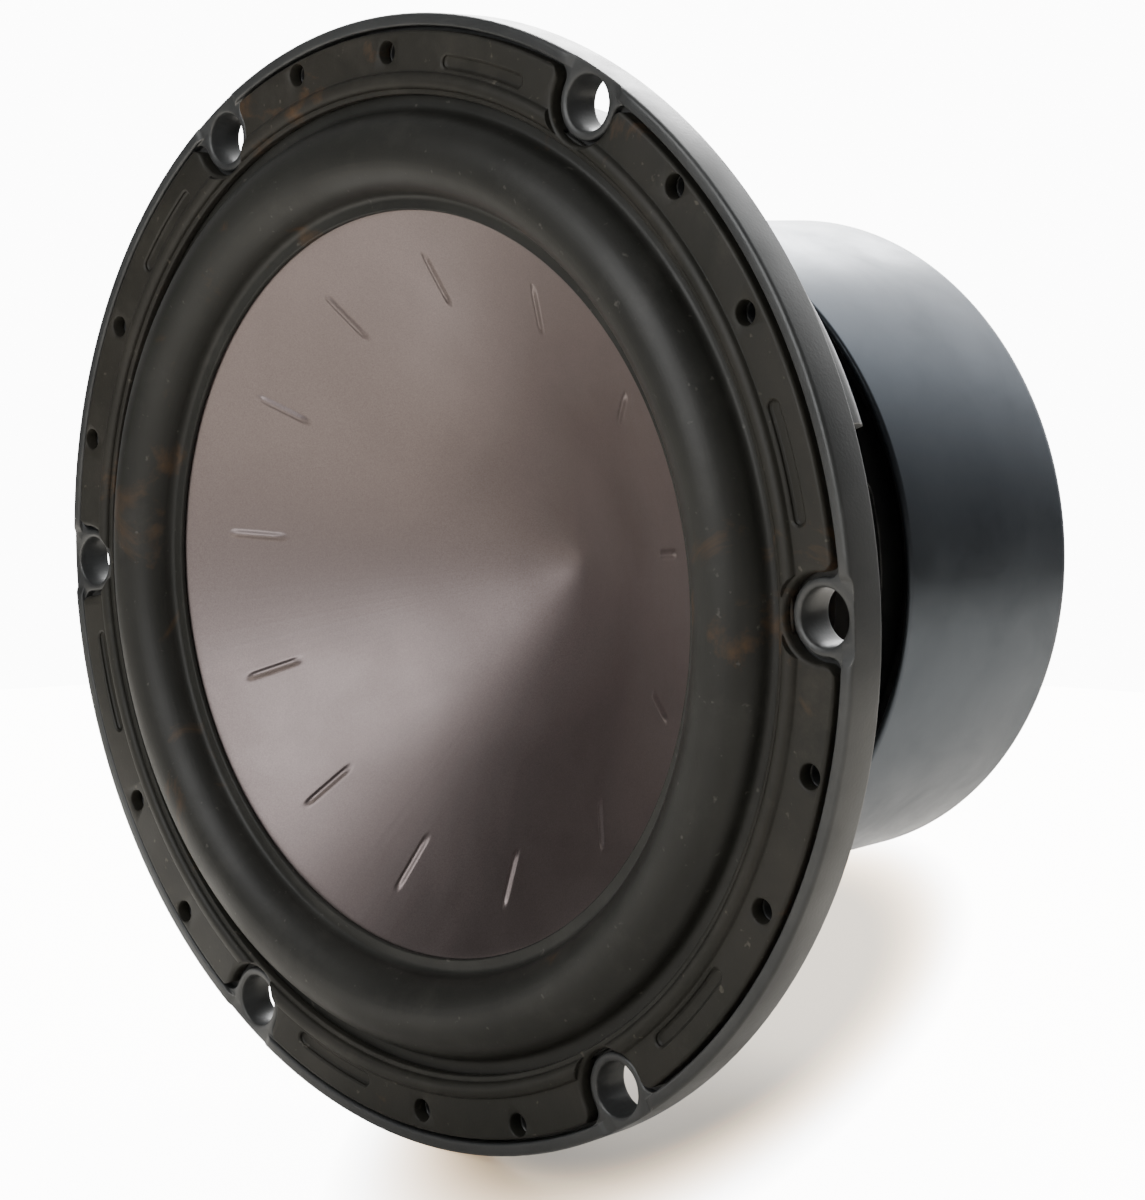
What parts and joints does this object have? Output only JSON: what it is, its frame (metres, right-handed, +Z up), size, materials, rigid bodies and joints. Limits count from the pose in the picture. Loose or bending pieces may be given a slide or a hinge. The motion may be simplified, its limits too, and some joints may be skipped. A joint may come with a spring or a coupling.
{
  "type": "car subwoofer speaker",
  "caption": "Round car subwoofer with cast basket, rubber surround, dished cone on a sprung coil assembly, covered magnet motor and push terminals.",
  "frame": {"origin": "centre of the flange's rear face, where the speaker seats on its panel", "axes": "+Y along the speaker's axis from the cone to the motor, +Z up; the cone faces -Y"},
  "size_m": [0.2724, 0.1583, 0.2724],
  "materials": {
    "cast_frame_paint": "satin dark grey paint on a cast frame, edges a little rubbed",
    "trim_rubber": "matt black moulded rubber with a satin bead",
    "surround_rubber": "smooth black butyl rubber, soft sheen on the roll",
    "cone_film": "satin metallised cone, brown grey with a faint violet tint",
    "coil_former_sheet": "thin amber former sheet",
    "coil_copper": "enamelled copper wire, wound in layers",
    "coupler_resin": "black moulded resin",
    "spider_cloth": "resin treated woven cloth",
    "clamp_board": "black pressed board",
    "black_plated_steel": "black plated steel",
    "ferrite": "matt dark grey ferrite",
    "shorting_aluminium": "turned aluminium",
    "screen_steel": "fine dark perforated steel",
    "motor_cover_satin": "satin gunmetal, smooth",
    "screw_zinc": "zinc plated steel",
    "terminal_plastic": "black moulded plastic",
    "button_red": "red moulded plastic",
    "button_black": "black moulded plastic",
    "spring_steel": "spring steel wire",
    "lug_brass": "tinned brass strip",
    "tinsel_braid": "braided tinsel conductor"
  },
  "bodies": {
    "frame": {"basket": "cast_frame_paint", "trim_gasket": "trim_rubber", "surround": "surround_rubber", "spider": "spider_cloth", "spider_clamp_ring": "clamp_board", "top_plate": "black_plated_steel", "yoke": "black_plated_steel", "magnet_front": "ferrite", "magnet_rear": "ferrite", "shorting_ring": "shorting_aluminium", "vent_screen": "screen_steel", "motor_cover": "motor_cover_satin", "motor_bolt_1": "screw_zinc", "motor_bolt_2": "screw_zinc", "motor_bolt_3": "screw_zinc", "motor_bolt_4": "screw_zinc", "motor_bolt_5": "screw_zinc", "motor_bolt_6": "screw_zinc", "terminal_screw_left_1": "screw_zinc", "terminal_screw_left_2": "screw_zinc", "terminal_screw_right_1": "screw_zinc", "terminal_screw_right_2": "screw_zinc", "terminal_block_left": "terminal_plastic", "terminal_block_right": "terminal_plastic", "terminal_spring_left_plus": "spring_steel", "terminal_spring_left_minus": "spring_steel", "terminal_spring_right_plus": "spring_steel", "terminal_spring_right_minus": "spring_steel", "solder_lug_left_plus": "lug_brass", "solder_lug_left_minus": "lug_brass", "solder_lug_right_plus": "lug_brass", "solder_lug_right_minus": "lug_brass", "tinsel_lead_left_plus": "tinsel_braid", "tinsel_lead_left_minus": "tinsel_braid", "tinsel_lead_right_plus": "tinsel_braid", "tinsel_lead_right_minus": "tinsel_braid"},
    "cone_assembly": {"cone": "cone_film", "coil_former": "coil_former_sheet", "voice_coil_a": "coil_copper", "voice_coil_b": "coil_copper", "neck_coupler": "coupler_resin"},
    "button_left_plus": {"terminal_button_left_plus": "button_red"},
    "button_left_minus": {"terminal_button_left_minus": "button_black"},
    "button_right_plus": {"terminal_button_right_plus": "button_red"},
    "button_right_minus": {"terminal_button_right_minus": "button_black"}
  },
  "joints": [
    {"name": "cone_travel", "type": "slide", "parent": "frame", "child": "cone_assembly", "axis": [0, 1, 0], "range_m": [-0.013, 0.013], "stiffness_N_per_m": 3000, "deforming": ["surround", "spider", "tinsel_lead_left_plus", "tinsel_lead_left_minus", "tinsel_lead_right_plus", "tinsel_lead_right_minus"]},
    {"name": "button_left_plus_press", "type": "slide", "parent": "frame", "child": "button_left_plus", "axis": [0, -1, 0], "range_m": [0, 0.003], "stiffness_N_per_m": 900, "springref_m": -0.002, "deforming": ["terminal_spring_left_plus"]},
    {"name": "button_left_minus_press", "type": "slide", "parent": "frame", "child": "button_left_minus", "axis": [0, -1, 0], "range_m": [0, 0.003], "stiffness_N_per_m": 900, "springref_m": -0.002, "deforming": ["terminal_spring_left_minus"]},
    {"name": "button_right_plus_press", "type": "slide", "parent": "frame", "child": "button_right_plus", "axis": [0, -1, 0], "range_m": [0, 0.003], "stiffness_N_per_m": 900, "springref_m": -0.002, "deforming": ["terminal_spring_right_plus"]},
    {"name": "button_right_minus_press", "type": "slide", "parent": "frame", "child": "button_right_minus", "axis": [0, -1, 0], "range_m": [0, 0.003], "stiffness_N_per_m": 900, "springref_m": -0.002, "deforming": ["terminal_spring_right_minus"]}
  ]
}
